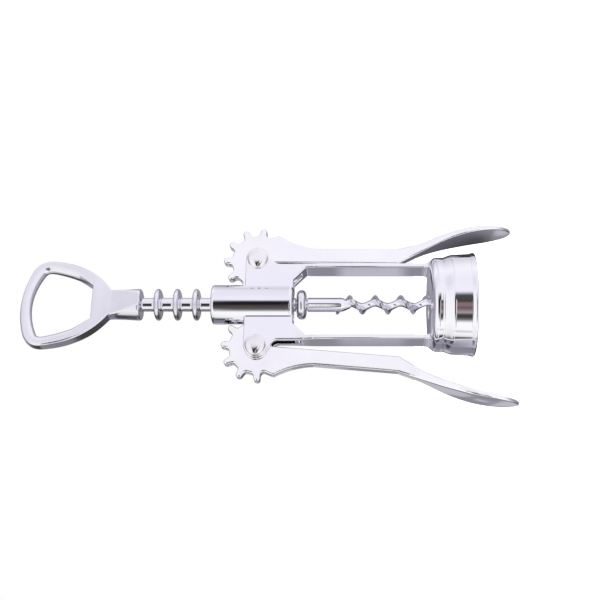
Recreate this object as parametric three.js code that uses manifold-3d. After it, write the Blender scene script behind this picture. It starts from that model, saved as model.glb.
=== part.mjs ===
// Lever (winged) corkscrew, standing upright over a bottle's mouth.
// +Z runs up the worm's axis to the handle, the two levers swing in the XZ plane, and the
// origin is the centre of the bell's mouth. Lengths are millimetres, angles are radians.

import * as THREE from "three";
import { mergeVertices } from "three/addons/utils/BufferGeometryUtils.js";
import Module from "manifold-3d";

const wasm = await Module();
wasm.setup();

const degrees = (value) => (value * Math.PI) / 180;

// ---- driving dimensions -------------------------------------------------------------

const GAP = 0.3; // between a solid and the neighbour it rests on
const FIT = 0.15; // radial play of a shaft in its bore

// Bell, the cup that sits on the bottle's mouth
const BELL_HEIGHT = 14;
const BELL_LIP_RADIUS = 16.3;
const BELL_BARREL_RADIUS = 15.7;
const BELL_WALL = 1;
const BELL_THROAT_RADIUS = 12.4;

// Throat ring, the plate that closes the bell's top round the worm
const THROAT_HOLE_RADIUS = 4.6;
const THROAT_THICKNESS = 1.2;

// Guide tube that the rack slides in
const TUBE_BOTTOM = 56.2;
const TUBE_TOP = 81.6;
const TUBE_RADIUS = 6.15;
const TUBE_BORE_RADIUS = 5.35;
const WINDOW_BOTTOM = 59.2;
const WINDOW_TOP = 77.4;

// Yokes: each one is a leg with a fork of two ears that carries a lever
const LEG_DEPTH = 8.8;
const EAR_DEPTH = 7.8;
const LEG_TOP = 54.6; // where the leg's full depth ends
const SLOT_WIDTH = 4;
const SLOT_BOTTOM = 53.7;
const LEG_INNER_X = 10.9;
const LEG_THICKNESS = 1.4;
const EAR_RADIUS = 3.7;
const EAR_TOP = 71.1;
const EAR_FILLET_ANGLE = degrees(-60); // where the ear's round runs into the leg's fillet
const EAR_FILLET_HEIGHT = 1.4;

// Lever pivots
const PIVOT_X = 14.05;
const PIVOT_Z = 67.5;
const RIVET_RADIUS = 1.5;
const RIVET_HEAD_RADIUS = 3.3;
const RIVET_HEAD_HEIGHT = 1.4;

// Rack rings and the gear teeth that mesh with them
const RING_COUNT = 7;
const RING_PITCH = 5.95;
const TOP_RING_Z = 98.4;
const RING_RADIUS = 5;
const RING_THICKNESS = 2.4;
const SLEEVE_RADIUS = 2.15;
const TEETH_PER_TURN = 11;
const TEETH_ON_LEVER = 7;
const TOOTH_TIP_RADIUS = 10.9;
const TOOTH_ROOT_RADIUS = 8.3;
const TOOTH_HALF_WIDTH = 1;
const FIRST_TOOTH_ANGLE = degrees(278.2);

// Levers, with each one's play-taking angle at rest
const LEVER_THICKNESS = 3.4;
const LEVER_LENGTH = 80.8;
const PADDLE_HALF_WIDTH = 6.2;
const RIGHT_LEVER_OPEN = degrees(-0.4);
const LEFT_LEVER_OPEN = degrees(4.8);

// Spindle, stop collar and worm, which turn with the handle
const SPINDLE_RADIUS = 1.4;
const COLLAR_Z = 53.7;
const COLLAR_RADIUS = 4.6;
const COLLAR_THICKNESS = 3;
const SHANK_RADIUS = 2.2;
const SHANK_BOTTOM = 41;
const SOCKET_DEPTH = 3;
const WORM_TIP_Z = 6.5;
const WORM_PITCH = 7.97;
const WORM_RADIUS = 3.05;
const WORM_CREST_Z = 38.7;
const WORM_CREST_ANGLE = degrees(-18);

// Handle: a round neck that flattens into a bottle-opener loop
const HANDLE_TURN = degrees(12);
const NECK_BOTTOM = 103.7;
const NECK_RADIUS = 4.95;
const WAIST_Z = 113.4;
const WAIST_HALF_WIDTH = 4.4;
const LIP_Z = 118.3;
const LIP_HALF_WIDTH = 5.8;
const LOOP_TOP = 141.2;

// ---- helpers ------------------------------------------------------------------------

// A closed solid from a geometry, with its shared vertices merged.
function solid(geometry) {
  const bare = geometry.clone();
  bare.deleteAttribute("normal");
  bare.deleteAttribute("uv");
  const merged = mergeVertices(bare);
  return new wasm.Manifold(
    new wasm.Mesh({
      numProp: 3,
      vertProperties: new Float32Array(merged.attributes.position.array),
      triVerts: new Uint32Array(merged.index.array),
    }),
  );
}

// A geometry from a solid.
function geometryOf(manifold) {
  const mesh = manifold.getMesh();
  const geometry = new THREE.BufferGeometry();
  geometry.setAttribute("position", new THREE.BufferAttribute(mesh.vertProperties, 3));
  geometry.setIndex(new THREE.BufferAttribute(mesh.triVerts, 1));
  geometry.computeVertexNormals();
  return geometry;
}

// A profile of [radius, height] points, taken counter-clockwise, turned round the Z axis.
function turned(profile, segments) {
  const points = profile.map((point) => new THREE.Vector2(point.x, point.y));
  return new THREE.LatheGeometry(points, segments).rotateX(Math.PI / 2);
}

// A shape drawn in X and Z, given a depth along Y with its middle at Y = 0.
function slab(shape, depth, curveSegments) {
  const settings = { depth, bevelEnabled: false, curveSegments };
  const geometry = new THREE.ExtrudeGeometry(shape, settings);
  return geometry.translate(0, 0, -depth / 2).rotateX(Math.PI / 2);
}

// A shape drawn in Y and Z, given a width along X with its middle at X = 0.
function crossSlab(shape, width, curveSegments) {
  return slab(shape, width, curveSegments).rotateZ(Math.PI / 2);
}

// A round bar along Z between two heights.
function bar(radius, bottom, top, segments) {
  const geometry = new THREE.CylinderGeometry(radius, radius, top - bottom, segments);
  return geometry.rotateX(Math.PI / 2).translate(0, 0, (top + bottom) / 2);
}

// A round bar along Y through a point of the XZ plane.
function crossBar(radius, length, x, z, segments) {
  const geometry = new THREE.CylinderGeometry(radius, radius, length, segments);
  return geometry.translate(x, 0, z);
}

// A block between two corners.
function block(low, high) {
  const size = high.clone().sub(low);
  const middle = high.clone().add(low).multiplyScalar(0.5);
  const geometry = new THREE.BoxGeometry(size.x, size.y, size.z);
  return geometry.translate(middle.x, middle.y, middle.z);
}

function named(name, geometry, material) {
  const mesh = new THREE.Mesh(geometry, material);
  mesh.name = name;
  return mesh;
}

// ---- materials ----------------------------------------------------------------------

function plated(color, roughness) {
  return new THREE.MeshStandardMaterial({ color, roughness, metalness: 1 });
}

const castPlate = () => plated(0xe9e8ee, 0.12);
const leverPlate = () => plated(0xeeedf3, 0.18);
const turnedPlate = () => plated(0xe4e4ea, 0.08);
const wormSteel = () => plated(0xcfcfd6, 0.16);
const rivetSteel = () => plated(0xe2e0dc, 0.1);

// ---- frame: bell, throat ring, guide tube and yokes ---------------------------------

function bell() {
  const path = new THREE.Path();
  const innerBarrel = BELL_BARREL_RADIUS - BELL_WALL;
  path.moveTo(BELL_LIP_RADIUS - BELL_WALL, 0);
  path.lineTo(BELL_LIP_RADIUS - 0.2, 0);
  path.quadraticCurveTo(BELL_LIP_RADIUS + 0.3, 0.6, BELL_BARREL_RADIUS + 0.15, 1.4);
  path.lineTo(BELL_BARREL_RADIUS, 7.2);
  path.quadraticCurveTo(15.6, 8.6, 14.7, 9.3);
  path.quadraticCurveTo(14.9, 10.8, 14.5, 11.8);
  path.quadraticCurveTo(14, 13.3, 12.9, BELL_HEIGHT);
  path.lineTo(BELL_THROAT_RADIUS, BELL_HEIGHT);
  path.lineTo(BELL_THROAT_RADIUS, 12.7);
  path.lineTo(13.5, 11.4);
  path.lineTo(13.5, 9.6);
  path.lineTo(innerBarrel, 7.6);
  path.lineTo(innerBarrel, 1.6);
  path.lineTo(BELL_LIP_RADIUS - BELL_WALL, 0);
  return turned(path.getPoints(3), 40);
}

function throatRing() {
  const outer = BELL_THROAT_RADIUS - GAP;
  const top = BELL_HEIGHT + 0.1;
  const disc = solid(bar(outer, top - THROAT_THICKNESS, top, 40));
  const hole = solid(bar(THROAT_HOLE_RADIUS, 0, BELL_HEIGHT * 2, 32));
  return geometryOf(disc.subtract(hole));
}

function guideTube() {
  const chamfer = 0.7;
  const path = new THREE.Path();
  path.moveTo(TUBE_BORE_RADIUS, TUBE_BOTTOM);
  path.lineTo(TUBE_RADIUS, TUBE_BOTTOM);
  path.lineTo(TUBE_RADIUS, TUBE_TOP - chamfer);
  path.lineTo(TUBE_RADIUS - chamfer, TUBE_TOP);
  path.lineTo(TUBE_BORE_RADIUS, TUBE_TOP);
  path.lineTo(TUBE_BORE_RADIUS, TUBE_BOTTOM);
  const halfSlot = SLOT_WIDTH / 2;
  const windows = block(
    new THREE.Vector3(-2 * TUBE_RADIUS, -halfSlot, WINDOW_BOTTOM),
    new THREE.Vector3(2 * TUBE_RADIUS, halfSlot, WINDOW_TOP),
  );
  return geometryOf(solid(turned(path.getPoints(), 36)).subtract(solid(windows)));
}

// The right-hand yoke; the left-hand one is the same casting turned half round. The leg is a
// little deeper than the fork above it.
function yoke() {
  const legOuterX = LEG_INNER_X + LEG_THICKNESS;
  const legBottom = BELL_HEIGHT + 0.1 + GAP;
  const chamfer = 3.9;
  const filletX = PIVOT_X + EAR_RADIUS * Math.cos(EAR_FILLET_ANGLE);
  const filletTop = PIVOT_Z + EAR_RADIUS * Math.sin(EAR_FILLET_ANGLE);
  const cornerZ = filletTop + (filletX - legOuterX) / Math.tan(EAR_FILLET_ANGLE);
  const shape = new THREE.Shape();
  shape.moveTo(LEG_INNER_X, legBottom);
  shape.lineTo(legOuterX, legBottom);
  shape.lineTo(legOuterX, cornerZ - EAR_FILLET_HEIGHT);
  shape.quadraticCurveTo(legOuterX, cornerZ, filletX, filletTop);
  shape.absarc(PIVOT_X, PIVOT_Z, EAR_RADIUS, EAR_FILLET_ANGLE, Math.PI / 2);
  shape.lineTo(TUBE_RADIUS / 2, EAR_TOP);
  shape.lineTo(TUBE_RADIUS / 2, TUBE_BOTTOM);
  shape.lineTo(LEG_INNER_X - chamfer, TUBE_BOTTOM);
  shape.lineTo(LEG_INNER_X, TUBE_BOTTOM - chamfer);
  const slot = block(
    new THREE.Vector3(0, -SLOT_WIDTH / 2, SLOT_BOTTOM),
    new THREE.Vector3(2 * PIVOT_X, SLOT_WIDTH / 2, TUBE_TOP),
  );
  const tubeSpace = bar(TUBE_RADIUS + GAP, TUBE_BOTTOM - 2, TUBE_TOP, 36);
  const rivetHole = crossBar(RIVET_RADIUS + FIT, 2 * EAR_DEPTH, PIVOT_X, PIVOT_Z, 20);
  const leg = block(
    new THREE.Vector3(LEG_INNER_X, -LEG_DEPTH / 2, legBottom),
    new THREE.Vector3(legOuterX, LEG_DEPTH / 2, LEG_TOP),
  );
  const casting = solid(slab(shape, EAR_DEPTH, 12))
    .add(solid(leg))
    .subtract(solid(slot))
    .subtract(solid(tubeSpace))
    .subtract(solid(rivetHole));
  return geometryOf(casting);
}

// A rivet along Y with a domed head at each end, centred on its own origin.
function rivet() {
  const seat = EAR_DEPTH / 2 + FIT;
  const top = seat + RIVET_HEAD_HEIGHT;
  const rim = 0.4;
  const path = new THREE.Path();
  path.moveTo(0, -top);
  path.quadraticCurveTo(RIVET_HEAD_RADIUS * 0.75, -top, RIVET_HEAD_RADIUS, -seat - rim);
  path.lineTo(RIVET_HEAD_RADIUS, -seat);
  path.lineTo(RIVET_RADIUS, -seat);
  path.lineTo(RIVET_RADIUS, seat);
  path.lineTo(RIVET_HEAD_RADIUS, seat);
  path.lineTo(RIVET_HEAD_RADIUS, seat + rim);
  path.quadraticCurveTo(RIVET_HEAD_RADIUS * 0.75, top, 0, top);
  return turned(path.getPoints(5), 20).rotateX(Math.PI / 2);
}

// ---- levers -------------------------------------------------------------------------

// The lever's own frame has its pivot at the origin, with the arm hanging down -Z and the
// outer side at +X. Its angles are taken from the arm's direction towards the outer side.
function leverPoint(radius, angle) {
  return new THREE.Vector2(radius * Math.sin(angle), -radius * Math.cos(angle));
}

// A point of a tooth, given along the tooth's middle line and across it.
function toothPoint(angle, along, across) {
  const middle = leverPoint(along, angle);
  const side = leverPoint(across, angle + Math.PI / 2);
  return middle.add(side);
}

// One rounded tooth, drawn from its high-angle side to its low-angle side.
function addTooth(shape, angle) {
  const rootHalfAngle = 0.2;
  const capCentre = TOOTH_TIP_RADIUS - TOOTH_HALF_WIDTH;
  const startRoot = leverPoint(TOOTH_ROOT_RADIUS, angle + rootHalfAngle);
  const endRoot = leverPoint(TOOTH_ROOT_RADIUS, angle - rootHalfAngle);
  const foot = TOOTH_ROOT_RADIUS + 0.1;
  const shoulder = TOOTH_ROOT_RADIUS + 0.9;
  const startFoot = toothPoint(angle, foot, TOOTH_HALF_WIDTH + 0.15);
  const startShoulder = toothPoint(angle, shoulder, TOOTH_HALF_WIDTH + 0.05);
  const endFoot = toothPoint(angle, foot, -TOOTH_HALF_WIDTH - 0.15);
  const endShoulder = toothPoint(angle, shoulder, -TOOTH_HALF_WIDTH - 0.05);
  const cap = leverPoint(capCentre, angle);
  shape.lineTo(startRoot.x, startRoot.y);
  shape.quadraticCurveTo(startFoot.x, startFoot.y, startShoulder.x, startShoulder.y);
  shape.absarc(cap.x, cap.y, TOOTH_HALF_WIDTH, angle, angle - Math.PI, true);
  shape.lineTo(endShoulder.x, endShoulder.y);
  shape.quadraticCurveTo(endFoot.x, endFoot.y, endRoot.x, endRoot.y);
}

// The lever seen along its pivot: gear sector, arm and the bent edge of the paddle.
function leverOutline() {
  const toothStep = (2 * Math.PI) / TEETH_PER_TURN;
  const armInnerX = -0.7;
  const armOuterX = 4.2;
  const bendStartZ = -44;
  const hubRadius = 4.9;
  const shape = new THREE.Shape();
  shape.moveTo(armInnerX, -hubRadius);
  shape.lineTo(-hubRadius * 0.8, -hubRadius * 0.75);
  for (let tooth = 0; tooth < TEETH_ON_LEVER; tooth += 1) {
    addTooth(shape, FIRST_TOOTH_ANGLE - tooth * toothStep);
  }
  const lastRoot = leverPoint(TOOTH_ROOT_RADIUS, degrees(66));
  shape.lineTo(lastRoot.x, lastRoot.y);
  shape.lineTo(8.5, -6.3);
  shape.quadraticCurveTo(5, -11.5, armOuterX, -18);
  shape.lineTo(armOuterX, bendStartZ);
  shape.splineThru([
    new THREE.Vector2(6.3, -51.7),
    new THREE.Vector2(8.8, -59.3),
    new THREE.Vector2(10.7, -67),
    new THREE.Vector2(11.4, -74),
    new THREE.Vector2(11.2, -LEVER_LENGTH),
  ]);
  shape.lineTo(10.2, -LEVER_LENGTH);
  shape.splineThru([
    new THREE.Vector2(9.9, -74),
    new THREE.Vector2(8.7, -67),
    new THREE.Vector2(6.4, -59.3),
    new THREE.Vector2(3.2, -51.7),
    new THREE.Vector2(armInnerX, bendStartZ),
  ]);
  return shape;
}

// The lever seen from outside: a straight arm that widens into a round-ended paddle.
function leverPlan() {
  const half = LEVER_THICKNESS / 2;
  const wideZ = -70;
  const widenZ = -46;
  const top = TOOTH_TIP_RADIUS + 1;
  const endLength = LEVER_LENGTH + wideZ;
  const shape = new THREE.Shape();
  shape.moveTo(half, top);
  shape.lineTo(-half, top);
  shape.lineTo(-half, widenZ);
  shape.bezierCurveTo(-half, widenZ - 9, -PADDLE_HALF_WIDTH, wideZ + 12, -PADDLE_HALF_WIDTH, wideZ);
  shape.absellipse(0, wideZ, PADDLE_HALF_WIDTH, endLength, Math.PI, 2 * Math.PI);
  shape.bezierCurveTo(PADDLE_HALF_WIDTH, wideZ + 12, half, widenZ - 9, half, widenZ);
  return shape;
}

function lever() {
  const side = solid(slab(leverOutline(), 3 * PADDLE_HALF_WIDTH, 3));
  const plan = solid(crossSlab(leverPlan(), 4 * PADDLE_HALF_WIDTH + 2 * TOOTH_TIP_RADIUS, 6));
  const rivetHole = solid(crossBar(RIVET_RADIUS + FIT, 2 * EAR_DEPTH, 0, 0, 20));
  return geometryOf(side.intersect(plan).subtract(rivetHole));
}

// ---- rack, spindle, collar and worm -------------------------------------------------

// A sleeve with round rings on it, which the gear teeth push up and down.
function rackSleeve() {
  const bore = SPINDLE_RADIUS + FIT;
  const bottom = COLLAR_Z + COLLAR_THICKNESS / 2 + GAP;
  const top = NECK_BOTTOM - GAP;
  const half = RING_THICKNESS / 2;
  const straight = RING_RADIUS - half;
  const path = new THREE.Path();
  path.moveTo(bore, bottom);
  path.lineTo(SLEEVE_RADIUS, bottom);
  for (let ring = RING_COUNT - 1; ring >= 0; ring -= 1) {
    const middle = TOP_RING_Z - ring * RING_PITCH;
    path.lineTo(SLEEVE_RADIUS, middle - half - 0.2);
    path.lineTo(straight, middle - half);
    path.quadraticCurveTo(RING_RADIUS, middle - half, RING_RADIUS, middle);
    path.quadraticCurveTo(RING_RADIUS, middle + half, straight, middle + half);
    path.lineTo(SLEEVE_RADIUS, middle + half + 0.2);
  }
  path.lineTo(SLEEVE_RADIUS, top);
  path.lineTo(bore, top);
  path.lineTo(bore, bottom);
  return turned(path.getPoints(3), 28);
}

function spindle() {
  const bottom = COLLAR_Z - COLLAR_THICKNESS / 2 - SOCKET_DEPTH + GAP;
  return bar(SPINDLE_RADIUS, bottom, NECK_BOTTOM + SOCKET_DEPTH, 20);
}

function stopCollar() {
  const bore = SPINDLE_RADIUS + FIT;
  const half = COLLAR_THICKNESS / 2;
  const straight = COLLAR_RADIUS - half;
  const path = new THREE.Path();
  path.moveTo(bore, COLLAR_Z - half);
  path.lineTo(straight, COLLAR_Z - half);
  path.quadraticCurveTo(COLLAR_RADIUS, COLLAR_Z - half, COLLAR_RADIUS, COLLAR_Z);
  path.quadraticCurveTo(COLLAR_RADIUS, COLLAR_Z + half, straight, COLLAR_Z + half);
  path.lineTo(bore, COLLAR_Z + half);
  path.lineTo(bore, COLLAR_Z - half);
  return turned(path.getPoints(3), 24);
}

// The auger's section: a blunt back on the axis and a keen crest at the worm's radius.
function augerSection() {
  const back = 1.3;
  const backCentre = 0.7;
  const crestHalfWidth = 0.25;
  const shape = new THREE.Shape();
  shape.moveTo(WORM_RADIUS, -crestHalfWidth);
  shape.lineTo(WORM_RADIUS, crestHalfWidth);
  shape.absarc(backCentre, 0, back, degrees(62), degrees(298));
  return shape;
}

// The auger: the section drawn down Z, drawn in to a point and then twisted round Z.
function auger(top) {
  const taperLength = 9;
  const pointRadius = 1.9;
  const turns = (top - WORM_TIP_Z) / WORM_PITCH;
  const steps = Math.round(turns * 12);
  const settings = { depth: top - WORM_TIP_Z, steps, bevelEnabled: false, curveSegments: 5 };
  const geometry = new THREE.ExtrudeGeometry(augerSection(), settings);
  const position = geometry.attributes.position;
  const point = new THREE.Vector3();
  const axis = new THREE.Vector3(0, 0, 1);
  for (let index = 0; index < position.count; index += 1) {
    point.fromBufferAttribute(position, index);
    const size = 0.06 + 0.94 * Math.min(1, Math.sqrt(point.z / taperLength));
    const shift = pointRadius * (1 - size);
    const z = point.z + WORM_TIP_Z;
    const twist = WORM_CREST_ANGLE + (2 * Math.PI * (z - WORM_CREST_Z)) / WORM_PITCH;
    point.set(point.x * size + shift, point.y * size, z).applyAxisAngle(axis, twist);
    position.setXYZ(index, point.x, point.y, point.z);
  }
  return geometry;
}

// The worm: a round shank with a socket for the spindle, drawn down into the auger.
function worm() {
  const shankTop = COLLAR_Z - COLLAR_THICKNESS / 2 - GAP;
  const overlap = 1.5;
  const path = new THREE.Path();
  path.moveTo(0, SHANK_BOTTOM - 2.5);
  path.lineTo(1.2, SHANK_BOTTOM - 2.5);
  path.lineTo(SHANK_RADIUS, SHANK_BOTTOM);
  path.lineTo(SHANK_RADIUS, shankTop);
  path.lineTo(0, shankTop);
  const shank = solid(turned(path.getPoints(), 20));
  const socketBottom = shankTop - SOCKET_DEPTH;
  const socket = solid(bar(SPINDLE_RADIUS + FIT, socketBottom, shankTop + 1, 20));
  const blade = solid(auger(SHANK_BOTTOM + overlap));
  return geometryOf(shank.add(blade).subtract(socket));
}

// ---- handle -------------------------------------------------------------------------

// The loop seen face on: its outer edge, and the opening with its straight lip at the bottom.
function loopOutline() {
  const shape = new THREE.Shape();
  shape.moveTo(-3, NECK_BOTTOM + 4);
  shape.lineTo(3, NECK_BOTTOM + 4);
  shape.lineTo(WAIST_HALF_WIDTH, WAIST_Z);
  shape.bezierCurveTo(9.5, 117, 13.8, 122.5, 14.9, 131.5);
  shape.quadraticCurveTo(15.9, 136.8, 11.5, 138.9);
  shape.quadraticCurveTo(0, 2 * LOOP_TOP - 138.9, -11.5, 138.9);
  shape.quadraticCurveTo(-15.9, 136.8, -14.9, 131.5);
  shape.bezierCurveTo(-13.8, 122.5, -9.5, 117, -WAIST_HALF_WIDTH, WAIST_Z);
  const opening = new THREE.Path();
  opening.moveTo(-LIP_HALF_WIDTH, LIP_Z);
  opening.quadraticCurveTo(-10, 124, -11.7, 132.3);
  opening.quadraticCurveTo(-12.2, 134.7, -10.6, 135.5);
  opening.quadraticCurveTo(0, 140.7, 10.6, 135.5);
  opening.quadraticCurveTo(12.2, 134.7, 11.7, 132.3);
  opening.quadraticCurveTo(10, 124, LIP_HALF_WIDTH, LIP_Z);
  shape.holes.push(opening);
  return shape;
}

// The handle seen edge on: the neck is scooped to thumb flats, and the loop thins to its end.
function handleThickness() {
  const halfAt = [
    new THREE.Vector2(4.6, NECK_BOTTOM - 0.5),
    new THREE.Vector2(3.4, 108),
    new THREE.Vector2(2.2, 111.7),
    new THREE.Vector2(1.9, WAIST_Z + 1),
    new THREE.Vector2(2, 120),
    new THREE.Vector2(2, 128),
    new THREE.Vector2(1.5, LOOP_TOP + 1),
  ];
  const outline = [...halfAt];
  for (const point of [...halfAt].reverse()) {
    outline.push(new THREE.Vector2(-point.x, point.y));
  }
  return new THREE.Shape(outline);
}

function handle() {
  const path = new THREE.Path();
  path.moveTo(0, NECK_BOTTOM);
  path.lineTo(NECK_RADIUS - 0.7, NECK_BOTTOM);
  path.lineTo(NECK_RADIUS, NECK_BOTTOM + 0.8);
  path.lineTo(WAIST_HALF_WIDTH, WAIST_Z - 0.2);
  path.lineTo(0, WAIST_Z + 3);
  const neck = solid(turned(path.getPoints(), 28));
  const loop = solid(slab(loopOutline(), 2 * NECK_RADIUS, 7));
  const thickness = solid(crossSlab(handleThickness(), 3 * LOOP_TOP - 3 * NECK_BOTTOM, 1));
  const boreTop = NECK_BOTTOM + SOCKET_DEPTH + GAP;
  const bore = solid(bar(SPINDLE_RADIUS + FIT, NECK_BOTTOM - 1, boreTop, 20));
  return geometryOf(neck.add(loop).intersect(thickness).subtract(bore));
}

// ---- the assembly -------------------------------------------------------------------

// Turns a right-hand piece half round the worm's axis, to make the left-hand one.
function onSide(side) {
  return side > 0 ? 0 : Math.PI;
}

const group = new THREE.Group();
group.add(named("bell", bell(), castPlate()));
group.add(named("throat_ring", throatRing(), castPlate()));
group.add(named("guide_tube", guideTube(), castPlate()));

const sides = [
  { name: "right", sign: 1, open: RIGHT_LEVER_OPEN },
  { name: "left", sign: -1, open: LEFT_LEVER_OPEN },
];
for (const { name, sign, open } of sides) {
  const yokeMesh = named(`${name}_yoke`, yoke(), castPlate());
  yokeMesh.rotation.z = onSide(sign);
  const rivetMesh = named(`${name}_rivet`, rivet(), rivetSteel());
  rivetMesh.position.set(sign * PIVOT_X, 0, PIVOT_Z);
  const leverMesh = named(`${name}_lever`, lever(), leverPlate());
  leverMesh.position.set(sign * PIVOT_X, 0, PIVOT_Z);
  leverMesh.rotation.set(0, -sign * open, onSide(sign));
  group.add(yokeMesh, rivetMesh, leverMesh);
}

group.add(named("rack_sleeve", rackSleeve(), turnedPlate()));

const turning = new THREE.Group();
turning.add(named("spindle", spindle(), wormSteel()));
turning.add(named("stop_collar", stopCollar(), turnedPlate()));
turning.add(named("worm", worm(), wormSteel()));
const handleMesh = named("handle", handle(), castPlate());
handleMesh.rotation.z = HANDLE_TURN;
turning.add(handleMesh);
group.add(turning);

export default group;
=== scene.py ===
# Lever corkscrew: fine closed meshes, plated metals, a pale studio and the camera, round the
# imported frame. Lengths are millimetres until a mesh is made, in the frame's own axes: +Z runs
# up the worm's axis to the handle, and the levers swing in the XZ plane.

import math
from itertools import combinations, product

import bmesh
import bpy
import numpy as np
from mathutils import Matrix, Vector


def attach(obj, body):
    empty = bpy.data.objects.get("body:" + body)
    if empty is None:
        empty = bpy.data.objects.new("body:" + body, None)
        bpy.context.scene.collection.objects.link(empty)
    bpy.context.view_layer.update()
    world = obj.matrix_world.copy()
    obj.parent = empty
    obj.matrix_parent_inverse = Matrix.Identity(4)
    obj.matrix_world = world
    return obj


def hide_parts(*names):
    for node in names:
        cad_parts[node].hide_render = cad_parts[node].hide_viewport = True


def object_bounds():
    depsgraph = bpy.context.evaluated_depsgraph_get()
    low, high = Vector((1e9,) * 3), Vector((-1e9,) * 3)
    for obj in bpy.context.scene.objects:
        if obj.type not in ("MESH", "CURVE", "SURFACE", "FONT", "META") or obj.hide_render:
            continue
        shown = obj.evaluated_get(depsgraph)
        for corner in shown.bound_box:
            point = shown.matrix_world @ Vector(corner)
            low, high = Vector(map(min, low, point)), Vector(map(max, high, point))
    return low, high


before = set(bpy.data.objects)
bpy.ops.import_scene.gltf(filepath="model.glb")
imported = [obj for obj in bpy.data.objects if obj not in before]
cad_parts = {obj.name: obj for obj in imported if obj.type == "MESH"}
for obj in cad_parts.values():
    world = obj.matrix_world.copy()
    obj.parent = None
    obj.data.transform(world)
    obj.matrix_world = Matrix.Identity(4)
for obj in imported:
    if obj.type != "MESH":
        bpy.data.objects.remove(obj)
CAD_BOX = [list(corner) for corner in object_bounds()]

MM = 0.001

# ---- dimensions of the CAD ----------------------------------------------------------

PIVOT = (14.05, 67.5)
TUBE_RADIUS, TUBE_BORE = 6.15, 5.35
TUBE_MIDDLE, TUBE_HALF_LENGTH = 68.9, 12.7
WINDOW_MIDDLE, WINDOW_HALF_LENGTH = 68.3, 9.1
SLOT_HALF = 2.0
SLOT_BOTTOM = 53.7
LEG_INNER, LEG_OUTER = 10.9, 12.3
LEG_HALF_DEPTH = 4.4
EAR_HALF_DEPTH = 3.9
RIVET_RADIUS = 1.5
FIT = 0.15
SHAFT_BORE = 1.55
RIGHT_OPEN = math.radians(-0.4)
LEFT_OPEN = math.radians(4.8)
HANDLE_TURN = math.radians(12)
WORM_TIP = 6.5
WORM_PITCH = 7.97
CREST_Z = 38.7
CREST_ANGLE = math.radians(-18)

# ---- how finely the meshes are drawn ------------------------------------------------

PROFILE_SPACING = 0.3
CASTING_CELL = 0.235
LEVER_CELL = 0.2
WORM_CELL = 0.11
HANDLE_CELL = 0.2

# ---- outlines -----------------------------------------------------------------------


def curve(points, count=10):
    """Points along a Bezier curve, without its first one."""
    points = [np.array(p, float) for p in points]
    degree = len(points) - 1
    made = []
    for step in range(1, count + 1):
        t = step / count
        total = sum(
            math.comb(degree, i) * (1 - t) ** (degree - i) * t**i * p
            for i, p in enumerate(points)
        )
        made.append(tuple(total))
    return made


def spline(points, count=8):
    """Points along a smooth line through the points given, without the first one."""
    points = [np.array(p, float) for p in points]
    padded = [2 * points[0] - points[1], *points, 2 * points[-1] - points[-2]]
    made = []
    for i in range(1, len(padded) - 2):
        a, b, c, d = padded[i - 1 : i + 3]
        for step in range(1, count + 1):
            t = step / count
            bend = 2 * a - 5 * b + 4 * c - d + t * (3 * (b - c) + d - a)
            made.append(tuple(b + 0.5 * t * (c - a + t * bend)))
    return made


def rounded(points, radius, least_turn=14):
    """A closed outline with every real corner drawn as a small curve.

    least_turn is the smallest turn, in degrees, that counts as a corner.
    """
    points = [np.array(p, float) for p in points]
    made = []
    for i, here in enumerate(points):
        before = points[i - 1] - here
        after = points[(i + 1) % len(points)] - here
        reach = min(np.linalg.norm(before), np.linalg.norm(after))
        cross = before[0] * after[1] - before[1] * after[0]
        angle = abs(math.degrees(math.atan2(cross, before @ after)))
        if 180 - angle < least_turn:
            made.append(tuple(here))
            continue
        cut = min(radius / math.tan(math.radians(angle) / 2), 0.48 * reach)
        first = here + before / np.linalg.norm(before) * cut
        last = here + after / np.linalg.norm(after) * cut
        made += [tuple(first), *curve([first, here, last], 6)]
    return made


# ---- distance fields: negative inside, about a millimetre per millimetre -------------


def cut_to(a, b, blend):
    """What is inside both a and b, with the edge between them rounded."""
    near = np.maximum(blend - np.abs(a - b), 0)
    return np.maximum(a, b) + near * near / (4 * blend)


def joined(a, b, blend):
    """What is inside a or b, with a fillet between them."""
    return -cut_to(-a, -b, blend)


def outline_distance(points, u, v):
    """Distance from (u, v) to a closed outline."""
    nearest = np.full(np.broadcast(u, v).shape, 1e9)
    inside = np.zeros(nearest.shape, bool)
    for (u0, v0), (u1, v1) in zip(points, [*points[1:], points[0]]):
        du, dv = u1 - u0, v1 - v0
        length2 = du * du + dv * dv
        if length2 < 1e-12:
            continue
        wu, wv = u - u0, v - v0
        t = np.clip((wu * du + wv * dv) / length2, 0, 1)
        nearest = np.minimum(nearest, (wu - du * t) ** 2 + (wv - dv * t) ** 2)
        if dv:
            inside ^= ((v0 <= v) != (v1 <= v)) & (wu < wv * du / dv)
    return np.where(inside, -1.0, 1.0) * np.sqrt(nearest)


def outline_table(points, pitch=0.08, margin=3):
    """The distance to a closed outline, worked out once on a fine grid and then looked up."""
    points = np.array(points)
    low = points.min(axis=0) - margin
    sizes = np.ceil((points.max(axis=0) + margin - low) / pitch).astype(int)
    across, up = (low[k] + pitch * np.arange(sizes[k]) for k in (0, 1))
    table = outline_distance(points.tolist(), across[:, None], up[None, :])

    def distance(u, v):
        u = np.clip((u - low[0]) / pitch, 0, sizes[0] - 1.001)
        v = np.clip((v - low[1]) / pitch, 0, sizes[1] - 1.001)
        i, j = u.astype(int), v.astype(int)
        u, v = u - i, v - j
        near = table[i, j] * (1 - v) + table[i, j + 1] * v
        far = table[i + 1, j] * (1 - v) + table[i + 1, j + 1] * v
        return near * (1 - u) + far * u

    return distance


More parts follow.
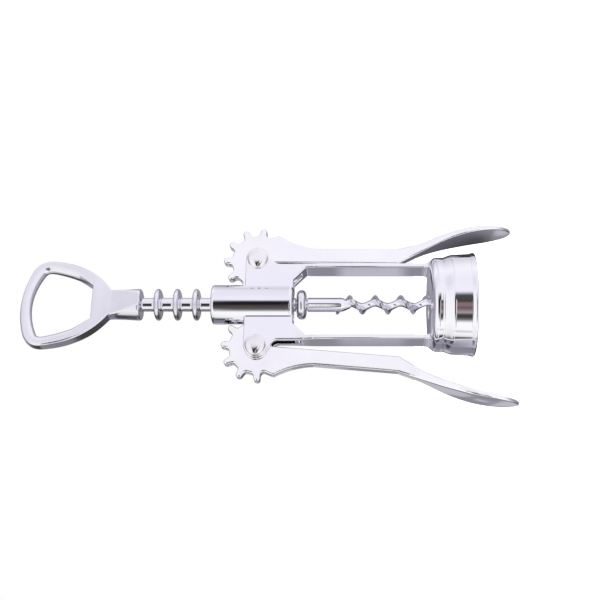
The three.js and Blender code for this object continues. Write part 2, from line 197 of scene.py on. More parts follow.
def crossing_points(values, low, pitch):
    """A point for every cell that the surface crosses, and each cell's place in that list."""
    cells = tuple(n - 1 for n in values.shape)
    corners = np.array(list(product((0, 1), repeat=3)))
    below = [
        values[tuple(slice(c, c + n) for c, n in zip(corner, cells))] < 0 for corner in corners
    ]
    count = np.sum(below, axis=0)
    active = np.argwhere((count > 0) & (count < 8))
    index = np.full(cells, -1)
    index[tuple(active.T)] = np.arange(len(active))
    at_corner = np.stack([values[tuple((active + c).T)] for c in corners], axis=1)
    total = np.zeros((len(active), 3))
    hits = np.zeros(len(active))
    for a, b in combinations(range(8), 2):
        if np.abs(corners[a] - corners[b]).sum() != 1:
            continue
        va, vb = at_corner[:, a], at_corner[:, b]
        crossed = (va < 0) != (vb < 0)
        share = np.where(crossed, va / np.where(crossed, va - vb, 1), 0)
        total += crossed[:, None] * (corners[a] + share[:, None] * (corners[b] - corners[a]))
        hits += crossed
    return np.array(low) + pitch * (active + total / hits[:, None]), index


def grid_faces(inside, index):
    """A four-sided face across every edge of the grid that the surface crosses."""
    faces = []
    for axis in range(3):
        step, left, up = np.roll(np.eye(3, dtype=int), axis, axis=0)
        ends = np.roll([(0, -1), (1, -1), (1, -1)], axis, axis=0)
        here = tuple(slice(a, b) for a, b in ends)
        there = tuple(slice(a + s, b + s or None) for (a, b), s in zip(ends, step))
        start = inside[here]
        edges = np.argwhere(start != inside[there])
        outward = start[tuple(edges.T)]
        node = edges + ends[:, 0]
        around = (node - left - up, node - up, node, node - left)
        ring = np.stack([index[tuple(cell.T)] for cell in around], axis=1)
        faces.append(np.where(outward[:, None], ring, ring[:, ::-1]))
    return np.concatenate(faces)


def onto_surface(field, points, pitch):
    """The points moved along the field's slope to where the field is zero."""

    def value(p):
        return field(p[:, 0], p[:, 1], p[:, 2])

    reach = 0.1 * pitch
    slope = np.stack(
        [
            (value(points + reach * side) - value(points - reach * side)) / (2 * reach)
            for side in np.eye(3)
        ],
        axis=1,
    )
    steep = np.maximum((slope**2).sum(axis=1), 0.05)
    for _ in range(3):
        move = np.clip(value(points) / steep, -0.4 * pitch, 0.4 * pitch)
        points = points - slope * move[:, None]
    return points


def smoothed(points, faces):
    """The points evened out against their neighbours, in and out so that nothing shrinks."""
    links = np.concatenate([faces[:, [i, (i + 1) % 4]] for i in range(4)])
    degree = np.bincount(links.ravel(), minlength=len(points))
    for weight in (0.5, -0.52, 0.5, -0.52):
        total = np.stack(
            [
                np.bincount(links[:, 0], points[links[:, 1], k], len(points))
                + np.bincount(links[:, 1], points[links[:, 0], k], len(points))
                for k in range(3)
            ],
            axis=1,
        )
        points = points + weight * (total / degree[:, None] - points)
    return points


def surface(field, low, high, pitch):
    """The closed surface where a field is zero, as vertices and four-sided faces."""
    axes = [np.arange(a, b + pitch, pitch) for a, b in zip(low, high)]
    values = np.array(np.broadcast_to(field(*np.ix_(*axes)), [len(a) for a in axes]))
    points, index = crossing_points(values, low, pitch)
    faces = grid_faces(values < 0, index)
    return smoothed(onto_surface(field, points, pitch), faces), faces.tolist()


# ---- making objects -----------------------------------------------------------------


def add_piece(name, points, faces, body, nodes, slot, place=None):
    """A smooth-shaded object that stands for CAD nodes and rides on their body."""
    mesh = bpy.data.meshes.new(name)
    mesh.from_pydata((points * MM).tolist(), [], faces)
    if place is not None:
        mesh.transform(place)
    mesh.shade_smooth()
    mesh.update()
    made = bpy.data.objects.new(name, mesh)
    bpy.context.scene.collection.objects.link(made)
    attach(made, body)
    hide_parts(*nodes)
    made.data.materials.append(MATERIALS[slot])
    return made


def densely(profile):
    """An open line of points with its long stretches divided."""
    made = [profile[0]]
    for a, b in zip(profile, profile[1:]):
        count = max(1, math.ceil(math.dist(a, b) / PROFILE_SPACING))
        made += [
            (a[0] + (b[0] - a[0]) * i / count, a[1] + (b[1] - a[1]) * i / count)
            for i in range(1, count + 1)
        ]
    return made


def add_turned(name, profile, body, nodes, slot, closed=True, segments=144, place=None):
    """A piece turned round Z from (radius, height) points, up its outside and back down its bore.

    Without closed the profile starts and ends on Z.
    """
    line = np.array(densely([*profile, profile[0]] if closed else profile))
    line = line[:-1] if closed else line[1:-1]
    angles = 2 * math.pi * np.arange(segments) / segments
    radius, height = line[:, :1], line[:, 1:]
    points = np.stack(
        [radius * np.cos(angles), radius * np.sin(angles), height + 0 * angles], axis=2
    ).reshape(-1, 3)
    count = len(line)
    rows = np.arange(count if closed else count - 1)[:, None]
    columns = np.arange(segments)[None, :]
    here, there = rows * segments, (rows + 1) % count * segments
    after = (columns + 1) % segments
    faces = np.stack(
        [here + columns, here + after, there + after, there + columns], axis=2
    ).reshape(-1, 4).tolist()
    if not closed:
        foot, head = len(points), len(points) + 1
        points = np.concatenate([points, [(0, 0, profile[0][1]), (0, 0, profile[-1][1])]])
        last = (count - 1) * segments
        for column in range(segments):
            after = (column + 1) % segments
            faces.append([foot, after, column])
            faces.append([head, last + column, last + after])
    return add_piece(name, points, faces, body, nodes, slot, place)


# ---- nodes and materials ------------------------------------------------------------


def between(tree, value, low, high, to_low=0.0, to_high=1.0):
    """A value turned into a smooth step, from to_low at low to to_high at high."""
    made = tree.nodes.new("ShaderNodeMapRange")
    made.interpolation_type = "SMOOTHSTEP"
    for socket, number in zip(
        ("From Min", "From Max", "To Min", "To Max"), (low, high, to_low, to_high)
    ):
        made.inputs[socket].default_value = number
    tree.links.new(value, made.inputs["Value"])
    return made.outputs["Result"]


def mixed(tree, factor, first, second):
    """The first colour where the factor is 0, the second where it is 1."""
    made = tree.nodes.new("ShaderNodeMix")
    made.data_type = "RGBA"
    for name, colour in (("A", first), ("B", second)):
        target = next(s for s in made.inputs if s.name == name and s.type == "RGBA")
        if isinstance(colour, tuple):
            target.default_value = (*colour, 1)
        else:
            tree.links.new(colour, target)
    tree.links.new(factor, made.inputs["Factor"])
    return next(s for s in made.outputs if s.type == "RGBA")


# pointiness is 0.5 on a flat: rubbed edges lie above that, and hollows below it, where the colour
# is darkened as painted shade
RUBBED_FROM, RUBBED_TO = 0.52, 0.6
HOLLOW_TO, HOLLOW_FROM = 0.4, 0.47
SKIN_SCALE = 900


def plated(name, tint, dull, polish, grain, ripple, wear):
    """A bright plated metal.

    tint and dull are the colours of clean and of clouded plate, polish the lowest and highest
    roughness, grain the scale of the clouding's noise, ripple the height of the casting's skin
    in metres, and wear how far rubbed edges brighten.
    """
    material = bpy.data.materials.new(name)
    material.use_nodes = True
    tree = material.node_tree
    nodes, links = tree.nodes, tree.links
    shader = nodes["Principled BSDF"]
    shader.inputs["Metallic"].default_value = 1.0
    place = nodes.new("ShaderNodeTexCoord")

    def noise(scale, detail):
        made = nodes.new("ShaderNodeTexNoise")
        made.inputs["Scale"].default_value = scale
        made.inputs["Detail"].default_value = detail
        made.inputs["Roughness"].default_value = 0.55
        links.new(place.outputs["Object"], made.inputs["Vector"])
        return made.outputs["Fac"]

    edge = nodes.new("ShaderNodeNewGeometry").outputs["Pointiness"]
    rubbed = between(tree, edge, RUBBED_FROM, RUBBED_TO, 0, wear)
    hollow = between(tree, edge, HOLLOW_TO, HOLLOW_FROM, 1, 0)
    colour = mixed(tree, between(tree, noise(grain, 5), 0.35, 0.7), tint, dull)
    colour = mixed(tree, rubbed, colour, tuple(min(1.0, c * 1.05) for c in tint))
    # painted shade: hollows and creases are darkened towards a deeper dull colour, in place of the
    # shade that falls in them
    painted_hollow_shade = between(tree, hollow, 0, 1, 0, 0.35)
    colour = mixed(tree, painted_hollow_shade, colour, tuple(0.6 * c for c in dull))
    links.new(colour, shader.inputs["Base Color"])
    rough = between(tree, noise(grain * 3, 4), 0.3, 0.75, *polish)
    links.new(rough, shader.inputs["Roughness"])

    skin = nodes.new("ShaderNodeBump")
    skin.inputs["Strength"].default_value = 1.0
    skin.inputs["Distance"].default_value = ripple
    links.new(noise(SKIN_SCALE, 2), skin.inputs["Height"])
    links.new(skin.outputs["Normal"], shader.inputs["Normal"])
    return material


# tint, dull, polish, grain, ripple and wear of each slot
LOOKS = {
    "frame_plate": ((0.93, 0.92, 0.96), (0.9, 0.89, 0.935), (0.015, 0.045), 60, 1.5e-6, 0.4),
    "lever_plate": ((0.99, 0.985, 0.99), (0.95, 0.945, 0.965), (0.07, 0.15), 50, 3e-6, 0.5),
    "rack_plate": ((0.9, 0.89, 0.93), (0.82, 0.81, 0.86), (0.03, 0.07), 90, 1e-6, 0.3),
    "rivet_steel": ((0.92, 0.9, 0.92), (0.8, 0.78, 0.8), (0.04, 0.1), 120, 2e-6, 0.3),
    "worm_steel": ((0.95, 0.94, 0.98), (0.85, 0.84, 0.89), (0.03, 0.08), 110, 2e-6, 0.5),
    "handle_plate": ((0.88, 0.87, 0.91), (0.8, 0.79, 0.84), (0.1, 0.2), 50, 2e-6, 0.4),
}
MATERIALS = {name: plated(name, *look) for name, look in LOOKS.items()}

# ---- frame: bell, then yokes and guide tube -----------------------------------------


def bell_profile():
    """The bell: rim, cone, waist, bulge and shoulder, then the plate's hole and the inside."""
    outside = [(15.9, 0), *curve([(15.9, 0), (16.3, 0), (16.25, 0.75)], 5)]
    outside += curve([(16.25, 0.75), (16.1, 1.2), (15.92, 1.7)], 5)
    outside += [(15.645, 6.8)]
    waist = [(15.645, 6.8), (15.58, 8.0), (15.05, 8.75), (14.83, 9.35), (14.73, 9.9)]
    outside += curve(waist, 24)
    outside += curve([(14.73, 9.9), (14.7, 10.02), (14.732, 10.2)], 6)
    outside += [(14.775 - (z - 10.95) ** 2 / 15, z) for z in np.arange(10.3, 12.21, 0.1)]
    outside += curve([(14.67, 12.2), (14.45, 13.5), (13.1, 14.0), (11.8, 14.1)], 16)
    plate = [(4.9, 14.1), *curve([(4.9, 14.1), (4.6, 14.1), (4.6, 13.8)], 4)]
    plate += [(4.6, 13.2), *curve([(4.6, 13.2), (4.6, 12.9), (4.9, 12.9)], 4)]
    inside = [(11.4, 12.9), *curve([(11.4, 12.9), (13.2, 12.6), (13.5, 11.2)], 6)]
    inside += [(13.6, 9.6), *curve([(13.6, 9.6), (14.7, 9.0), (14.7, 7.8)], 6)]
    inside += [(14.75, 1.6), *curve([(14.75, 1.6), (15.3, 0.8), (15.3, 0.2)], 4), (15.5, 0)]
    return outside + plate + inside


add_turned(
    "bell_cup", bell_profile(), "frame", ["bell", "throat_ring"], "frame_plate", segments=192
)


def yoke_outline():
    """One leg and its ear, seen from the front."""
    foot, bend, ear_radius = 13.0, 60.8, 3.7
    ear = [
        (PIVOT[0] + ear_radius * math.cos(a), PIVOT[1] + ear_radius * math.sin(a))
        for a in np.radians(np.arange(-60, 91, 5))
    ]
    points = [(LEG_INNER, foot), (LEG_OUTER, foot), (LEG_OUTER, bend)]
    points += curve([(LEG_OUTER, bend), (LEG_OUTER, 62.2), ear[0]], 8)
    points += ear[1:]
    points += [(3, 71.2), (3, 56.2), (7, 56.2), (LEG_INNER, 52.3)]
    return rounded(points, 0.5)


yoke_distance = outline_table(yoke_outline())


def casting(x, y, z):
    """The legs with their ears, the tube and its windows, as one solid."""
    side = np.abs(x)
    depth = np.abs(y)
    half = np.interp(z, [49, 55], [LEG_HALF_DEPTH, EAR_HALF_DEPTH])
    yoke = cut_to(yoke_distance(side, z), depth - half, 0.4)
    # the foot of each leg spreads a little where it runs into the bell
    foot = np.maximum(np.maximum(LEG_INNER - side, side - LEG_OUTER), depth - half)
    foot = foot - np.maximum(14.8 - z, 0) * 0.6
    foot = np.maximum(np.maximum(foot, z - 15.2), 13.3 - z)
    yoke = joined(yoke, foot, 0.4)
    slot = np.maximum(depth - SLOT_HALF, SLOT_BOTTOM - z)
    yoke = cut_to(yoke, -slot, 0.4)
    rivet_hole = np.hypot(side - PIVOT[0], z - PIVOT[1]) - RIVET_RADIUS - FIT
    yoke = cut_to(yoke, -rivet_hole, 0.2)
    radius = np.hypot(x, y)
    tube = cut_to(radius - TUBE_RADIUS, np.abs(z - TUBE_MIDDLE) - TUBE_HALF_LENGTH, 1.0)
    whole = joined(yoke, tube, 0.08)
    whole = cut_to(whole, TUBE_BORE - radius, 0.4)
    window = np.maximum(depth - SLOT_HALF, np.abs(z - WINDOW_MIDDLE) - WINDOW_HALF_LENGTH)
    return cut_to(whole, -np.maximum(window, radius - 9), 0.3)


points, faces = surface(casting, (-18.6, -6.9, 12.4), (18.6, 6.9, 82.4), CASTING_CELL)
casting_nodes = ["guide_tube", "right_yoke", "left_yoke"]
add_piece("frame_casting", points, faces, "frame", casting_nodes, "frame_plate")

# ---- levers, drawn about their pivot ------------------------------------------------

GEAR_ROOT, GEAR_TIP, TOOTH_HALF = 8.3, 10.9, 1.0
TEETH, FULL_CIRCLE_TEETH = 7, 11
FIRST_TOOTH = 278.2
# the photo shows the right lever's lower part a little short and the left one's a little long,
# so what lies further than this below the pivot is drawn stretched
BLADE_TOP = 44
STRETCH = {"right": 0.975, "left": 1.015}


def lever_point(radius, angle):
    """A point at an angle from straight down."""
    return (radius * math.sin(angle), -radius * math.cos(angle))


def tooth_outline(angle):
    """One tooth with the fillets at its foot."""
    across = np.array(lever_point(1, angle + math.pi / 2))
    along = np.array(lever_point(1, angle))

    def flank(side):
        return [
            np.array(lever_point(GEAR_ROOT, angle + side * 0.2)),
            along * (GEAR_ROOT + 0.1) + side * across * (TOOTH_HALF + 0.15),
            along * (GEAR_ROOT + 0.9) + side * across * (TOOTH_HALF + 0.05),
        ]

    cap = GEAR_TIP - TOOTH_HALF
    top = [
        tuple(along * (cap + TOOTH_HALF * math.sin(a)) + across * TOOTH_HALF * math.cos(a))
        for a in np.radians(np.linspace(0, 180, 13))
    ]
    up, down = flank(1), flank(-1)[::-1]
    return [tuple(up[0]), *curve(up, 5), *top, tuple(down[0]), *curve(down, 5)]


def lever_outline():
    """The lever from the front: gear teeth, arm and paddle."""
    points = [(-0.7, -4.9), (-3.9, -3.7)]
    for tooth in range(TEETH):
        angle = math.radians(FIRST_TOOTH - tooth * 360 / FULL_CIRCLE_TEETH)
        points += tooth_outline(angle)
        if tooth < TEETH - 1:
            points += [lever_point(GEAR_ROOT, angle - turn) for turn in (0.26, 0.31)]
    points += [lever_point(GEAR_ROOT, math.radians(66)), (8.5, -6.3)]
    points += curve([(8.5, -6.3), (5, -11.5), (4.2, -18)], 8)
    points += [(4.2, -44)]
    outer = [(4.2, -44), (6.3, -51.7), (8.8, -59.3), (10.7, -67), (11.4, -74), (11.2, -80.8)]
    points += spline(outer)
    points += spline([(11.2, -80.8), (10.2, -80.8)], 2)
    inner = [(10.2, -80.8), (9.9, -74), (8.7, -67), (6.4, -59.3), (3.2, -51.7), (-0.7, -44)]
    points += spline(inner)
    return rounded(points, 0.6, 20)


def lever_half_width(z):
    """Half the lever's width seen from the side, at each height."""
    arm, paddle, round_from, round_height = 1.7, 6.2, -70, 10.8
    widening = curve([(arm, -46), (arm, -55), (paddle, -58), (paddle, round_from)], 16)
    end = [
        (paddle * math.cos(a), round_from - round_height * math.sin(a))
        for a in np.radians(np.arange(5, 91, 5))
    ]
    line = np.array([(arm, 20), (arm, -46), *widening, *end])[::-1]
    return np.interp(z, line[:, 1], line[:, 0])


lever_distance = outline_table(lever_outline())


def lever(x, y, z):
    # the paddle is bent round the thumb like a shallow spoon
    spoon = np.interp(-z, [50, 62, 74, 82], [0, 0.008, 0.013, 0.01])
    side = lever_distance(x + spoon * y * y, z)
    # down the widening the edge runs aslant, so the width's excess is more than the distance
    slant = 1 + 0.4 * np.clip((-50 - z) / 12, 0, 1)
    plan = (np.abs(y) - lever_half_width(z)) / slant
    whole = cut_to(side, plan, np.interp(-z, [60, 78], [0.55, 0.35]))
    hole = np.hypot(x, z) - RIVET_RADIUS - FIT
    return cut_to(whole, -hole, 0.2)


def at_pivot(sign):
    return Matrix.Translation((sign * PIVOT[0] * MM, 0, PIVOT[1] * MM))


points, faces = surface(lever, (-11.6, -6.8, -81.6), (12.1, 6.8, 11.6), LEVER_CELL)
for name, sign, opened in (("right", 1, RIGHT_OPEN), ("left", -1, LEFT_OPEN)):
    drawn = points.copy()
    drawn[:, 2] += np.minimum(points[:, 2] + BLADE_TOP, 0) * (STRETCH[name] - 1)
    place = at_pivot(sign) @ Matrix.Rotation(-sign * opened, 4, "Y")
    if sign < 0:
        place = place @ Matrix.Rotation(math.pi, 4, "Z")
    body = f"{name}_lever"
    add_piece(f"{name}_lever_arm", drawn, faces, body, [body], "lever_plate", place)

# ---- rivets -------------------------------------------------------------------------


def rivet_profile():
    """A pin with a domed head at each end."""
    head, seat = 3.3, EAR_HALF_DEPTH + 0.02
    top = EAR_HALF_DEPTH + FIT + 1.4
    dome = [(0, 0), (1.35, 0.06), (2.2, 0.2), (2.8, 0.43), (3.12, 0.68), (head, 1.1)]
    half = [(0, top)] + spline([(r, top - fall) for r, fall in dome])
    half += curve([(head, seat + 0.2), (head, seat), (head - 0.2, seat)], 4)
    half += [(RIVET_RADIUS, seat)]
    return [(r, -z) for r, z in half] + half[::-1]


for name, sign in (("right", 1), ("left", -1)):
    add_turned(
        f"{name}_rivet_pin",
        rivet_profile(),
        "frame",
        [f"{name}_rivet"],
        "rivet_steel",
        closed=False,
        segments=96,
        place=at_pivot(sign) @ Matrix.Rotation(math.pi / 2, 4, "X"),
    )

# ---- rack, collar, spindle ----------------------------------------------------------

RINGS, RING_PITCH, TOP_RING = 7, 5.95, 98.4


def rack_profile():
    """The sleeve and its rings."""
    shaft, ring, half = 2.15, 5.0, 1.15
    foot, top, soft = 55.5, 103.4, 0.2
    points = [(SHAFT_BORE, foot), (shaft - soft, foot)]
    points += curve([(shaft - soft, foot), (shaft, foot), (shaft, foot + soft)], 3)
    for number in range(RINGS - 1, -1, -1):
        z = TOP_RING - number * RING_PITCH
        # from the shaft out to the ring's edge: along the shaft, up its face, round its edge
        way = [
            (shaft, half + 0.45), (shaft, half), (shaft + 0.5, half - 0.05),
            (ring - 1.9, half - 0.1), (ring - 0.1, half - 0.2), (ring, 0),
        ]
        down = [(r, z - above) for r, above in way]
        up = [(r, z + above) for r, above in way[::-1]]
        points += [down[0], *curve(down[:3], 5), down[3], *curve(down[3:], 12)]
        points += [*curve(up[:3], 12), up[3], *curve(up[3:], 5)]
    points += [(shaft, top - soft)]
    points += curve([(shaft, top - soft), (shaft, top), (shaft - soft, top)], 3)
    return points + [(SHAFT_BORE, top)]


def collar_profile():
    foot, top, middle, radius = 52.2, 55.2, 53.7, 4.6
    points = [(SHAFT_BORE, foot), (2.9, foot)]
    points += curve([(2.9, foot), (radius, foot + 0.1), (radius, middle)], 10)
    points += curve([(radius, middle), (radius, top - 0.1), (2.9, top)], 10)
    return points + [(SHAFT_BORE, top)]


SPINDLE_PROFILE = [(0, 49.5), (1.2, 49.5), (1.4, 49.7), (1.4, 106.5), (1.2, 106.7), (0, 106.7)]
add_turned("rack_rings", rack_profile(), "rack", ["rack_sleeve"], "rack_plate")
add_turned("stop_ring", collar_profile(), "screw", ["stop_collar"], "rack_plate")
add_turned(
    "spindle_rod", SPINDLE_PROFILE, "screw", ["spindle"], "worm_steel", closed=False, segments=48
)

# ---- worm ---------------------------------------------------------------------------


def worm(x, y, z):
    """The auger below, the shank above and the socket for the spindle in it."""
    twist = CREST_ANGLE + 2 * math.pi * (z - CREST_Z) / WORM_PITCH
    along = x * np.cos(twist) + y * np.sin(twist)
    across = np.abs(y * np.cos(twist) - x * np.sin(twist))
    # the section shrinks towards the tip, about a point between its middle and its crest
    size = 0.08 + 0.92 * np.sqrt(np.clip((z - WORM_TIP) / 9, 0, 1))
    along = (along - 1.9 * (1 - size)) / size
    across = across / size
    # the section runs from a blunt back to a keen crest
    back, keen, reach, back_middle = 1.3, 0.22, 2.13, 0.7
    lean = (back - keen) / reach
    flat = math.sqrt(1 - lean * lean)
    along = along - back_middle
    where = flat * along - lean * across
    blade = np.where(
        where < 0,
        np.hypot(along, across) - back,
        np.where(
            where > flat * reach,
            np.hypot(along - reach, across) - keen,
            flat * across + lean * along - back,
        ),
    )
    blade = cut_to(blade * size, WORM_TIP - z, 0.1)
    blade = np.maximum(blade, z - 43)
    radius = np.hypot(x, y)
    shank = cut_to(radius - 2.2, radius - 2.2 + (41 - z) * 0.45, 0.3)
    shank = cut_to(shank, np.maximum(38.4 - z, z - 51.9), 0.3)
    whole = joined(shank, blade, 0.4)
    socket = np.maximum(radius - SHAFT_BORE, 48.9 - z)
    return cut_to(whole, -socket, 0.1)


points, faces = surface(worm, (-3.5, -3.5, 6.1), (3.5, 3.5, 52.4), WORM_CELL)
add_piece("worm_auger", points, faces, "screw", ["worm"], "worm_steel")

# ---- handle, turned a little about the worm's axis ----------------------------------


def mirrored(half):
    """A closed outline from its right half, which ends on the axis."""
    return half[:-1] + [(-u, z) for u, z in reversed(half)]


def handle_outlines():
    """The handle's outer edge and its opening, seen face on."""
    outer = [(3, 107.7), (4.4, 113.4)]
    outer += curve([(4.4, 113.4), (9.5, 117), (13.8, 122.5), (14.9, 131.5)], 20)
    outer += curve([(14.9, 131.5), (15.9, 136.8), (11.5, 138.9)], 12)
    outer += curve([(11.5, 138.9), (5.75, 141.1), (0, 141.1)], 12)
    opening = [(5.8, 118.3), *curve([(5.8, 118.3), (10, 124), (11.7, 132.3)], 16)]
    opening += curve([(11.7, 132.3), (12.2, 134.7), (10.6, 135.5)], 10)
    opening += curve([(10.6, 135.5), (5.3, 138.1), (0, 138.1)], 12)
    return rounded(mirrored(outer), 0.6, 20), rounded(mirrored(opening), 0.7, 20)


outer_distance, opening_distance = map(outline_table, handle_outlines())
HALF_THICKNESS = [
    (103.2, 4.6), (108, 3.4), (111.7, 2.2), (114.4, 1.9), (120, 2), (128, 2), (142.2, 1.5),
]
SMOOTH_HALF_THICKNESS = np.array([HALF_THICKNESS[0], *spline(HALF_THICKNESS, 12)])
# the lip across the foot of the opening runs a little aslant
LIP_MIDDLE, LIP_TILT = 119.0, 0.045
# the rim is grown inwards by this much, as the large rounding of its inner edge takes it off again
RIM_GROWTH = 0.4


def handle(x, y, z):
    """The round neck running into the flat loop, with the spindle's bore."""
    cosine, sine = math.cos(HANDLE_TURN), math.sin(HANDLE_TURN)
    u, v = x * cosine + y * sine, y * cosine - x * sine
    radius = np.hypot(u, v)
    neck = radius - np.interp(z, [103, 104.5, 113.2, 116.4], [4.97, 4.95, 4.4, 0.5])
    neck = np.maximum(cut_to(neck, 103.7 - z, 0.7), z - 116)
    whole = joined(neck, outer_distance(u, z), 0.8)
    half = np.interp(z, *SMOOTH_HALF_THICKNESS.T)
    whole = cut_to(whole, np.abs(v) - half, np.interp(z, [112, 119, 123], [0.4, 0.5, 0.9]))
    lip = LIP_MIDDLE + LIP_TILT * u
    opening = np.maximum(opening_distance(u, z) + RIM_GROWTH, lip - z)
    whole = cut_to(whole, -opening, np.interp(z, [118.5, 120, 124], [0.3, 0.5, 2.4]))
    bore = np.maximum(radius - SHAFT_BORE, z - 107)
    return cut_to(whole, -bore, 0.2)


points, faces = surface(handle, (-16.2, -5.6, 103.2), (16.2, 5.6, 142.0), HANDLE_CELL)
add_piece("handle_loop", points, faces, "screw", ["handle"], "handle_plate")

# ---- studio: what the plate reflects ------------------------------------------------

TOWARD_CAMERA = Vector((-0.309, -0.951, 0)).normalized()
IMAGE_UP = Vector((0.951, -0.309, 0)).normalized()

# Each list is a ring round the worm's axis: turns in degrees, from the camera's direction
# towards the picture's top, each with a shade of grey or a colour. Together they are a white
# tent that falls off behind, with a dark gap low down and a dark place where the camera stands.
LAVENDER = (0.95, 0.935, 1.01)
BACK = [(-180, (0.22, 0.22, 0.25)), (-144, (0.27, 0.27, 0.31)), (-105, (0.23, 0.23, 0.27))]
BELOW = [
    *BACK, (-93, (0.2, 0.2, 0.23)), (-89, (0.05, 0.05, 0.065)), (-79, 0.05), (-75, 0.8),
    (-70, 0.98), (-66, 0.98), (-62, 0.66), (-57, 1.03),
]
FAR_ABOVE = [
    (92, (1.0, 1.0, 1.03)), (105, (0.93, 0.92, 0.98)), (120, (0.8, 0.79, 0.86)),
    (132, (0.7, 0.68, 0.76)), (145, (0.31, 0.3, 0.37)), (180, (0.33, 0.32, 0.38)),
]
ABOVE = [(60, (0.94, 0.93, 1.0)), *FAR_ABOVE]
TENT = [
    (-180, (0.45, 0.45, 0.49)), (-156, (0.4, 0.4, 0.44)), (-140, (0.12, 0.12, 0.13)),
    (-125, (0.06, 0.06, 0.07)), (-93, (0.06, 0.06, 0.07)), (-80, 0.85),
    (-45, 1.04), (-10, 1.0), (36, LAVENDER), (62, (0.86, 0.85, 0.92)), *FAR_ABOVE,
]
DARK = [
    *BELOW, (-41, 1.06), (-37.5, 0.75), (-33, 0.2), (-27, 0.05), (-21.5, 0.06),
    (-17, (0.38, 0.33, 0.35)), (-6, (0.12, 0.1, 0.1)), (-2, (0.25, 0.16, 0.17)),
    (4, (0.24, 0.16, 0.17)),
]
LOWEST = [
    *DARK, (7, 0.06), (10, 0.1), (12, 0.5), (14, (0.93, 0.91, 0.98)),
    (45, (0.96, 0.945, 1.01)), *ABOVE,
]
LOW = [
    *DARK, (8, 0.06), (22, 0.07), (27, (0.5, 0.48, 0.55)), (31, (0.95, 0.93, 1.0)),
    (45, (0.96, 0.945, 1.01)), *ABOVE,
]
HIGH = [
    *BACK, (-97, 0.07), (-90, 0.07), (-83, 0.8), (-70, 1.0), (-44, 1.04), (-38, 0.75),
    (-31, 0.3), (-25, 0.13), (-18, (0.1, 0.085, 0.085)), (-4, (0.07, 0.055, 0.055)),
    (4, 0.015), (16, 0.015), (20, (0.07, 0.07, 0.09)), (24, (0.4, 0.38, 0.47)),
    (28, (0.7, 0.68, 0.78)), (31, (0.93, 0.91, 1.0)), (45, (0.93, 0.91, 1.0)),
    (60, (0.88, 0.87, 0.96)), (92, (0.84, 0.83, 0.91)), (105, (0.76, 0.75, 0.83)),
    (120, (0.62, 0.61, 0.69)), (134, (0.48, 0.47, 0.54)), (148, (0.31, 0.3, 0.37)),
    (180, (0.33, 0.32, 0.38)),
]
THIN = [
    *BELOW, (-36, 1.04), (-27, 0.6), (-18, 0.1), (-8, 0.03), (12, 0.03), (20, 0.25),
    (28, 0.8), (38, LAVENDER), *ABOVE,
]
SHANK = [
    *BELOW, (-50, 0.35), (-38, 0.3), (-26, 0.75), (-8, 1.0), (9, 0.95), (14, 0.12),
    (25, 0.08), (29, 0.75), (32, LAVENDER), *ABOVE,
]
DEEP = [
    (-180, 0.3), (-170, 0.2), (-160, (0.15, 0.15, 0.18)), (-150, (0.11, 0.11, 0.14)),
    (-135, 0.06), (-95, 0.05), (-82, 0.85), (-45, 1.04), (-10, 1.0), (36, LAVENDER),
    *ABOVE,
]
# The rings laid over LOWEST, in this order. The edges are in degrees of rise towards the handle:
# where a ring comes in and where it goes out again, None for an end that it runs past.
LAYERS = [
    (LOW, (-1.4, -0.6), None),
    (HIGH, (1.2, 3.6), None),
    (THIN, (6.5, 10), None),
    (SHANK, (1.1, 1.6), (3, 3.6)),
    (TENT, (12, 16), None),
    (THIN, None, (-12, -7)),
    (DEEP, None, (-14.5, -8.5)),
]
# Single places: the rises where each comes in and goes out, the turn at its middle, how far
# from the middle it starts and stops fading, and its colour.
PATCHES = [
    # the part that the handle's flat shows, and the part that the slopes of its neck show
    ((9.5, 12.5), (14.8, 17.5), 60, (4, 26), (0.86, 0.85, 0.93)),
    ((18, 34), (44, 62), 65, (4, 30), (0.82, 0.81, 0.89)),
    # lighter places behind, which the outer paddle and the tips show
    ((-10.2, -8.8), (-4.9, -3.5), -147, (6, 12), (0.5, 0.49, 0.55)),
    ((2.5, 3.9), (12.3, 13.7), -147, (6, 12), (0.5, 0.49, 0.55)),
    ((-3, -2), (0.5, 1.5), -144, (1.5, 3), (0.52, 0.51, 0.58)),
]
POLES = (0.32, 0.32, 0.37)


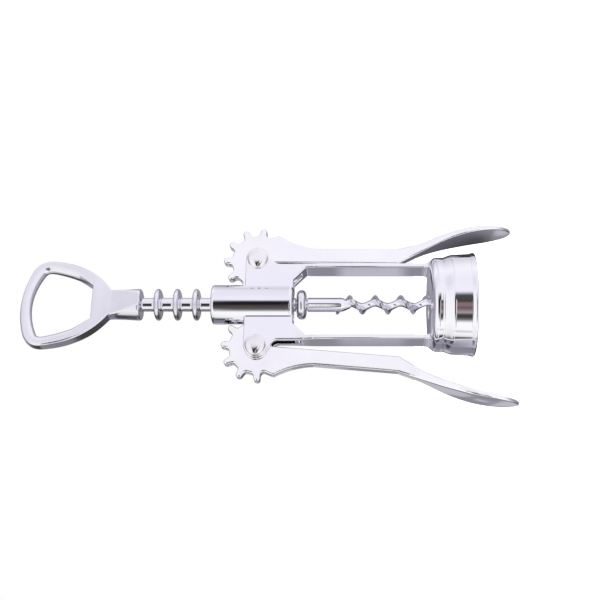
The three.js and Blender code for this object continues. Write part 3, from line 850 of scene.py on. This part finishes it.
def add_world():
    world = bpy.data.worlds.new("studio")
    bpy.context.scene.world = world
    world.use_nodes = True
    tree = world.node_tree
    nodes, links = tree.nodes, tree.links
    place = nodes.new("ShaderNodeTexCoord")

    def math_node(operation, *values):
        made = nodes.new("ShaderNodeMath")
        made.operation = operation
        for socket, value in zip(made.inputs, values):
            if isinstance(value, (int, float)):
                socket.default_value = value
            else:
                links.new(value, socket)
        return made.outputs[0]

    def along(direction):
        made = nodes.new("ShaderNodeVectorMath")
        made.operation = "DOT_PRODUCT"
        links.new(place.outputs["Generated"], made.inputs[0])
        made.inputs[1].default_value = direction
        return made.outputs["Value"]

    front, up, axis = along(TOWARD_CAMERA), along(IMAGE_UP), along(Vector((0, 0, 1)))
    turn = math_node("MULTIPLY", math_node("ARCTAN2", up, front), 180 / math.pi)
    rise = math_node("MULTIPLY", math_node("ARCSINE", axis), 180 / math.pi)
    share = math_node("DIVIDE", math_node("ADD", turn, 180), 360)

    def ring(stops):
        made = nodes.new("ShaderNodeValToRGB")
        ramp = made.color_ramp
        while len(ramp.elements) < len(stops):
            ramp.elements.new(0.5)
        for element, (angle, shade) in zip(ramp.elements, stops):
            element.position = (angle + 180) / 360
            element.color = (*(shade if isinstance(shade, tuple) else [shade] * 3), 1)
        links.new(share, made.inputs["Fac"])
        return made.outputs["Color"]

    def rises(coming_in, going_out):
        if going_out is None:
            return between(tree, rise, *coming_in)
        out = between(tree, rise, *going_out, 1, 0)
        if coming_in is None:
            return out
        return math_node("MULTIPLY", between(tree, rise, *coming_in), out)

    colour = ring(LOWEST)
    for stops, coming_in, going_out in LAYERS:
        colour = mixed(tree, rises(coming_in, going_out), colour, ring(stops))
    for coming_in, going_out, middle, fade, shade in PATCHES:
        away = math_node("ABSOLUTE", math_node("ADD", turn, -middle))
        mask = math_node("MULTIPLY", rises(coming_in, going_out), between(tree, away, *fade, 1, 0))
        colour = mixed(tree, mask, colour, shade)
    colour = mixed(tree, between(tree, math_node("ABSOLUTE", rise), 40, 75), colour, POLES)

    # the picture's own background is plain white
    camera_ray = nodes.new("ShaderNodeLightPath").outputs["Is Camera Ray"]
    colour = mixed(tree, camera_ray, colour, (1.0, 1.0, 1.0))
    background = nodes["Background"]
    links.new(colour, background.inputs["Color"])
    background.inputs["Strength"].default_value = 1.0


# ---- studio: floor, camera and light ------------------------------------------------

FLOOR_RADIUS = 0.6
FLOOR_GAP = 0.0002
PAPER_GRAIN, PAPER_RELIEF = 700, 2e-5
CAMERA_PLACE = Vector((-99.0, -309.6, 36.1)) * MM
LENS, SENSOR_WIDTH, SHIFT = 62.4, 36, -0.0967
LAMP_AIM = Vector((0, 0, 0.06))


def add_floor():
    """White paper under the tool's lowest point, which reflections don't show."""
    low = min(CAD_BOX[0][2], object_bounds()[0][2])
    form = bmesh.new()
    bmesh.ops.create_circle(form, cap_ends=True, radius=FLOOR_RADIUS, segments=96)
    mesh = bpy.data.meshes.new("floor")
    form.to_mesh(mesh)
    form.free()
    floor = bpy.data.objects.new("floor", mesh)
    floor.location = (0, 0, low - FLOOR_GAP)
    bpy.context.scene.collection.objects.link(floor)
    material = bpy.data.materials.new("floor_paper")
    material.use_nodes = True
    nodes, links = material.node_tree.nodes, material.node_tree.links
    shader = nodes["Principled BSDF"]
    for socket, value in (
        ("Base Color", (0.93, 0.93, 0.94, 1)),
        ("Roughness", 0.9),
        ("Specular IOR Level", 0.1),
        ("Emission Color", (1, 1, 1, 1)),
        ("Emission Strength", 0.8),
    ):
        shader.inputs[socket].default_value = value
    grain = nodes.new("ShaderNodeTexNoise")
    grain.inputs["Scale"].default_value = PAPER_GRAIN
    bump = nodes.new("ShaderNodeBump")
    bump.inputs["Distance"].default_value = PAPER_RELIEF
    links.new(grain.outputs["Fac"], bump.inputs["Height"])
    links.new(bump.outputs["Normal"], shader.inputs["Normal"])
    mesh.materials.append(material)
    floor.visible_glossy = False


def add_camera():
    """The photo's camera, level with the cage and 18 degrees round from the front."""
    data = bpy.data.cameras.new("camera")
    data.lens = LENS
    data.sensor_width = SENSOR_WIDTH
    data.shift_x = SHIFT
    data.clip_start, data.clip_end = 0.01, 10
    camera = bpy.data.objects.new("camera", data)
    right = IMAGE_UP.cross(TOWARD_CAMERA)
    axes = Matrix((right, IMAGE_UP, TOWARD_CAMERA)).transposed().to_4x4()
    camera.matrix_world = Matrix.Translation(CAMERA_PLACE) @ axes
    bpy.context.scene.collection.objects.link(camera)
    bpy.context.scene.camera = camera


def add_light(name, direction, distance, size, power):
    """A round lamp that points at the tool's middle and that reflections don't show."""
    data = bpy.data.lights.new(name, "AREA")
    data.shape = "DISK"
    data.size = size
    data.energy = power
    light = bpy.data.objects.new(name, data)
    light.location = LAMP_AIM + direction.normalized() * distance
    light.rotation_mode = "QUATERNION"
    light.rotation_quaternion = direction.to_track_quat("Z", "Y")
    light.visible_glossy = False
    bpy.context.scene.collection.objects.link(light)


add_world()
add_floor()
add_camera()
add_light("key", Vector((0, 0, 1)), distance=0.9, size=0.9, power=8)
bpy.context.scene.view_settings.view_transform = "Standard"
